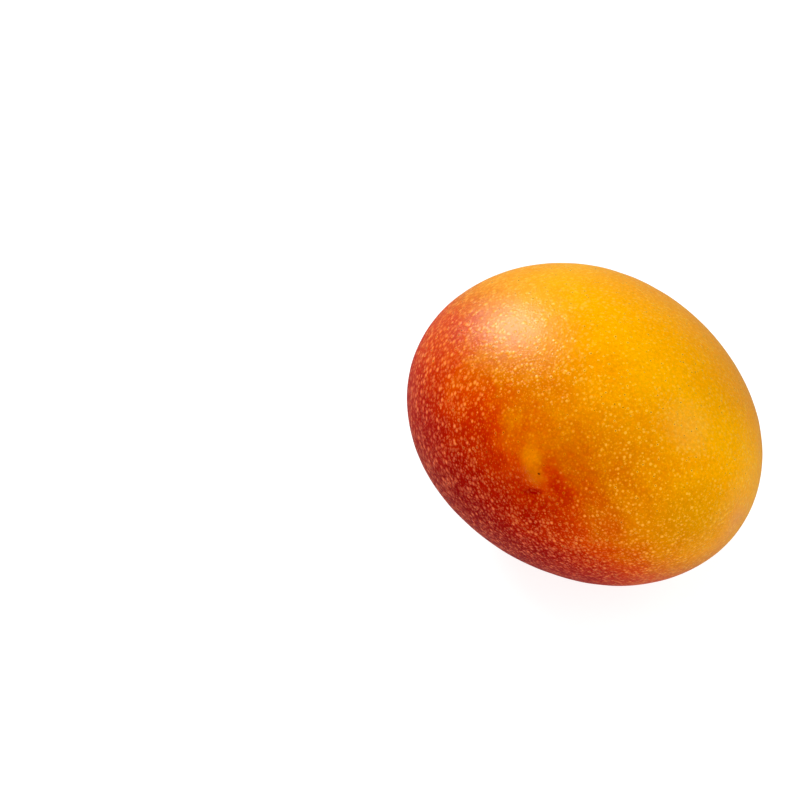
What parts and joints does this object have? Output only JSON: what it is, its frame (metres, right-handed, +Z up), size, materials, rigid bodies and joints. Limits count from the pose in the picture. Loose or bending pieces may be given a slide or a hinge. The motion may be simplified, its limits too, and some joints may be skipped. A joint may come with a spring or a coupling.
{
  "type": "mango",
  "caption": "Whole ripe mango lying on its cheek: a plump egg-shaped fruit with a small beak near the tip and a woody stub of stem in a shallow dish.",
  "frame": {"origin": "on the surface that the fruit rests on, under the middle of its outline as seen from above", "axes": "+X from the stem end to the tip; -Y the side of the fruit's beak, which is rolled about 19 degrees up from level; +Z up"},
  "size_m": [0.119, 0.094, 0.0876],
  "materials": {
    "skin": "thin smooth fruit skin with a waxy satin shine, amber yellow blushed red, with fine pale dots",
    "stem": "dry corky bark, matt, with a dark fibrous broken end"
  },
  "bodies": {
    "root": {"fruit": "skin", "stem": "stem"}
  },
  "joints": []
}
